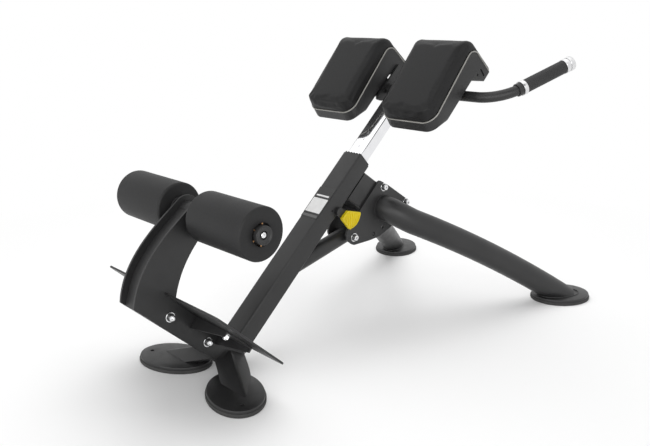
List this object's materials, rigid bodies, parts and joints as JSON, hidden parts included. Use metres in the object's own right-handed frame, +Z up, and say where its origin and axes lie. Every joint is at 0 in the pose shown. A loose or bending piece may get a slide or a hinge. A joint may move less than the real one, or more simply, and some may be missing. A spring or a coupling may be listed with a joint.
{
  "type": "hyperextension bench",
  "caption": "Slanted-beam back extension bench with padded hip rests on a sliding tube, foam ankle rollers, a footplate, curved handles and a release lever for the height.",
  "frame": {"origin": "middle of the bench's length and width, on the floor", "axes": "+Z up, +X towards the handles and front legs, +Y to the left of someone who faces the handles"},
  "size_m": [1.4105, 0.8482, 0.8035],
  "materials": {
    "black_powder_coat": "fine satin powder coat",
    "chrome_tube": "polished chrome plate",
    "zinc_fastener": "bright zinc plate",
    "aluminium": "fine turned aluminium",
    "black_foam": "dense foam with a smooth matt skin",
    "black_vinyl": "fine-grained black upholstery over foam",
    "black_rubber": "matt black rubber",
    "black_plastic": "matt moulded plastic",
    "yellow_plastic": "satin yellow plastic",
    "spring_steel": "oiled spring wire"
  },
  "bodies": {
    "bench": {"arm_bolt_front": "zinc_fastener", "arm_bolt_rear": "zinc_fastener", "arm_plate_left": "black_powder_coat", "arm_plate_right": "black_powder_coat", "arm_web": "black_powder_coat", "axle_sleeve": "black_powder_coat", "base_channel": "black_powder_coat", "brace_tube": "black_powder_coat", "footplate": "black_powder_coat", "footplate_bracket_left": "black_powder_coat", "footplate_bracket_right": "black_powder_coat", "front_foot_left": "black_powder_coat", "front_foot_right": "black_powder_coat", "front_foot_rubber_left": "black_rubber", "front_foot_rubber_right": "black_rubber", "front_leg_left": "black_powder_coat", "front_leg_right": "black_powder_coat", "guide_sleeve": "black_plastic", "latch_spring": "spring_steel", "main_beam": "black_powder_coat", "plate_bolt_front": "zinc_fastener", "plate_bolt_lower": "zinc_fastener", "plate_bolt_upper": "zinc_fastener", "plate_spacer_front": "black_powder_coat", "plate_spacer_upper": "black_powder_coat", "rear_foot_left": "black_powder_coat", "rear_foot_right": "black_powder_coat", "rear_foot_rubber_left": "black_rubber", "rear_foot_rubber_right": "black_rubber", "rear_leg_plate": "black_powder_coat", "roller_axle": "zinc_fastener", "side_plate_left": "black_powder_coat", "side_plate_right": "black_powder_coat", "stub_box": "black_powder_coat"},
    "pad_carriage": {"grip_cap_left": "aluminium", "grip_cap_right": "aluminium", "grip_ring_inner_left": "aluminium", "grip_ring_inner_right": "aluminium", "grip_sleeve_left": "black_rubber", "grip_sleeve_right": "black_rubber", "handle_tube": "black_powder_coat", "height_tube": "chrome_tube", "pad_bracket_left": "black_powder_coat", "pad_bracket_right": "black_powder_coat", "pad_cushion_left": "black_vinyl", "pad_cushion_right": "black_vinyl", "pad_shell_left": "black_plastic", "pad_shell_right": "black_plastic", "tube_cap": "black_plastic", "tube_glide": "black_plastic"},
    "release_lever": {"latch_pawl": "zinc_fastener", "latch_shaft": "zinc_fastener", "lever_hub": "black_plastic", "lever_paddle": "yellow_plastic"},
    "roller_right": {"foam_roller_right": "black_foam", "hub_cap_right": "black_plastic", "roller_core_right": "black_plastic"},
    "roller_left": {"foam_roller_left": "black_foam", "hub_cap_left": "black_plastic", "roller_core_left": "black_plastic"}
  },
  "joints": [
    {"name": "pad_height_slide", "type": "slide", "parent": "bench", "child": "pad_carriage", "axis": [0.7314, 0, 0.682], "range_m": [-0.05, 0.15]},
    {"name": "release_lever_pivot", "type": "hinge", "parent": "bench", "child": "release_lever", "pos_m": [-0.07772, 0, 0.35251], "axis": [0, 1, 0], "range_deg": [-15, 22], "stiffness_Nm_per_rad": 0.6, "springref_deg": -8.59},
    {"name": "roller_right_spin", "type": "hinge", "parent": "bench", "child": "roller_right", "pos_m": [-0.5188, 0, 0.42866], "axis": [0, 1, 0], "continuous": true},
    {"name": "roller_left_spin", "type": "hinge", "parent": "bench", "child": "roller_left", "pos_m": [-0.5188, 0, 0.42866], "axis": [0, 1, 0], "continuous": true}
  ]
}
